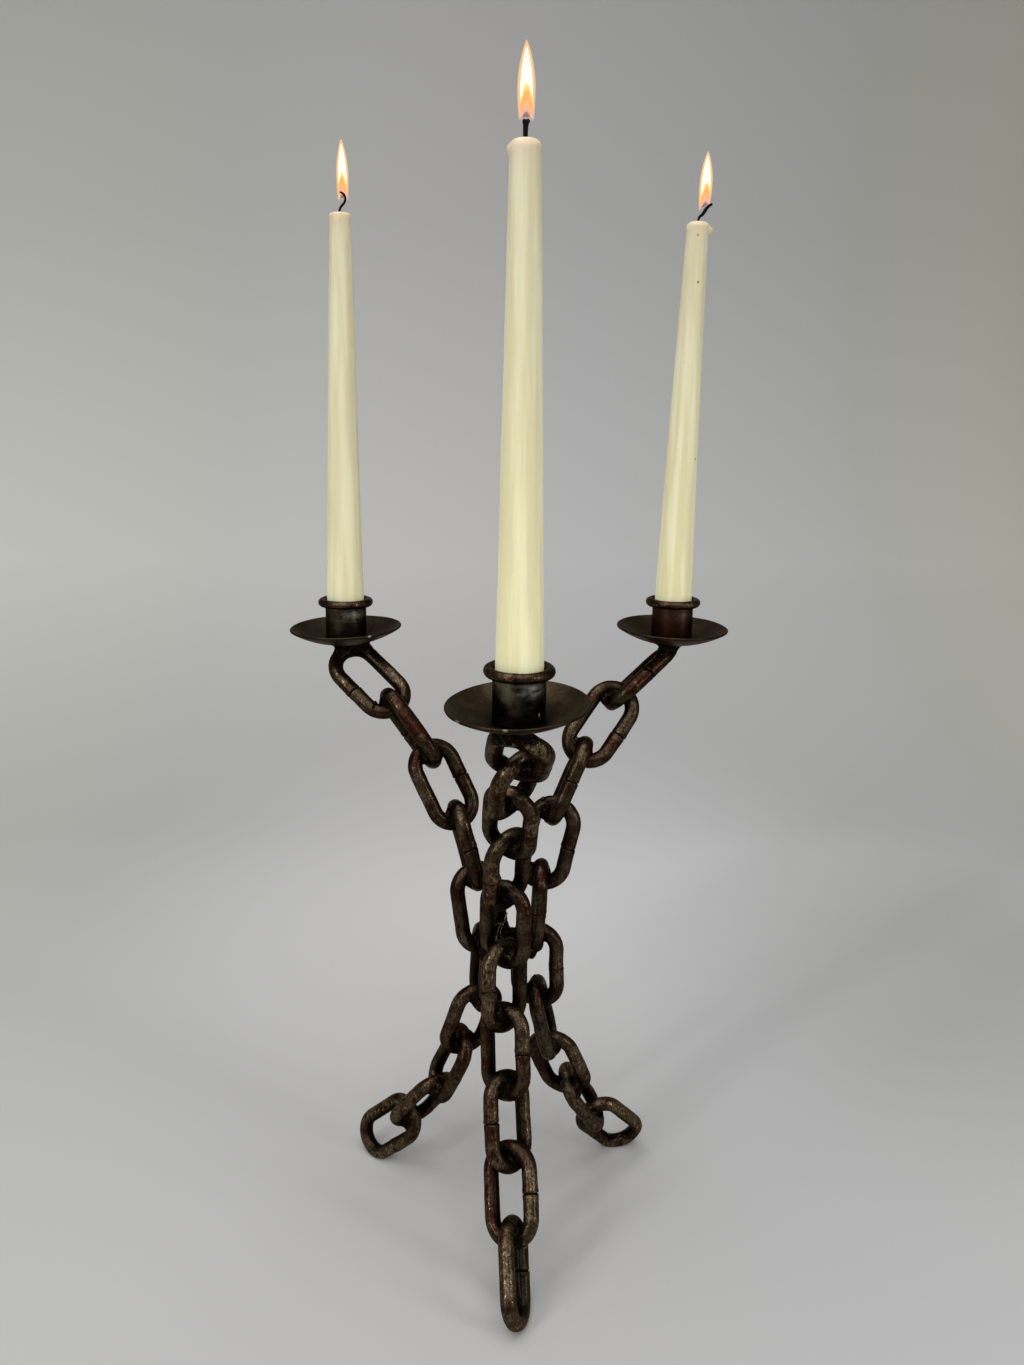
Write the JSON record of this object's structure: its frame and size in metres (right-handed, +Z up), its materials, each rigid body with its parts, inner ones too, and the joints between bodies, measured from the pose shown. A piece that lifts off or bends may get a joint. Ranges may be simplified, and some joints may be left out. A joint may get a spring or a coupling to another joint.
{
  "type": "candelabra",
  "caption": "Free-standing candelabra of welded chain: splayed link feet rise through a narrow waist to outspread arms with drip pans, collared sockets and taper candles.",
  "frame": {"origin": "on the floor, under the centre of the bounding box", "axes": "+Z straight up, -Y towards the front chain, +X to the right as seen from the front"},
  "size_m": [0.283, 0.2592, 0.6463],
  "materials": {
    "chain_steel": "dark brown patina, waxed, with worn bronze highlights",
    "pan_steel": "dark grey-brown patina, waxed, satin",
    "socket_steel": "dark grey-brown patina, waxed, with a grey sheen",
    "weld_metal": "rough weld bead, dark patina",
    "candle_wax": "ivory candle wax, smooth, faintly translucent",
    "burnt_wick": "charred cotton cord, matt"
  },
  "bodies": {
    "frame": {"front_collar": "socket_steel", "front_drip_pan": "pan_steel", "front_link_01": "chain_steel", "front_link_02": "chain_steel", "front_link_03": "chain_steel", "front_link_04": "chain_steel", "front_link_05": "chain_steel", "front_link_06": "chain_steel", "front_link_07": "chain_steel", "front_link_08": "chain_steel", "front_link_09": "chain_steel", "front_link_10": "chain_steel", "front_pan_weld": "weld_metal", "front_socket": "socket_steel", "left_collar": "socket_steel", "left_drip_pan": "pan_steel", "left_link_01": "chain_steel", "left_link_02": "chain_steel", "left_link_03": "chain_steel", "left_link_04": "chain_steel", "left_link_05": "chain_steel", "left_link_06": "chain_steel", "left_link_07": "chain_steel", "left_link_08": "chain_steel", "left_link_09": "chain_steel", "left_link_10": "chain_steel", "left_pan_weld": "weld_metal", "left_socket": "socket_steel", "right_collar": "socket_steel", "right_drip_pan": "pan_steel", "right_link_01": "chain_steel", "right_link_02": "chain_steel", "right_link_03": "chain_steel", "right_link_04": "chain_steel", "right_link_05": "chain_steel", "right_link_06": "chain_steel", "right_link_07": "chain_steel", "right_link_08": "chain_steel", "right_link_09": "chain_steel", "right_link_10": "chain_steel", "right_pan_weld": "weld_metal", "right_socket": "socket_steel", "waist_weld_front_left": "weld_metal", "waist_weld_front_left_low": "weld_metal", "waist_weld_front_right": "weld_metal", "waist_weld_left_right": "weld_metal"},
    "front_candle": {"front_candle": "candle_wax", "front_wick": "burnt_wick"},
    "left_candle": {"left_candle": "candle_wax", "left_wick": "burnt_wick"},
    "right_candle": {"right_candle": "candle_wax", "right_wick": "burnt_wick"}
  },
  "joints": [
    {"name": "front_candle_lift", "type": "slide", "parent": "frame", "child": "front_candle", "axis": [0, 0, 1], "range_m": [0, 0.035]},
    {"name": "left_candle_lift", "type": "slide", "parent": "frame", "child": "left_candle", "axis": [0, 0, 1], "range_m": [0, 0.035]},
    {"name": "right_candle_lift", "type": "slide", "parent": "frame", "child": "right_candle", "axis": [0, 0, 1], "range_m": [0, 0.035]}
  ]
}
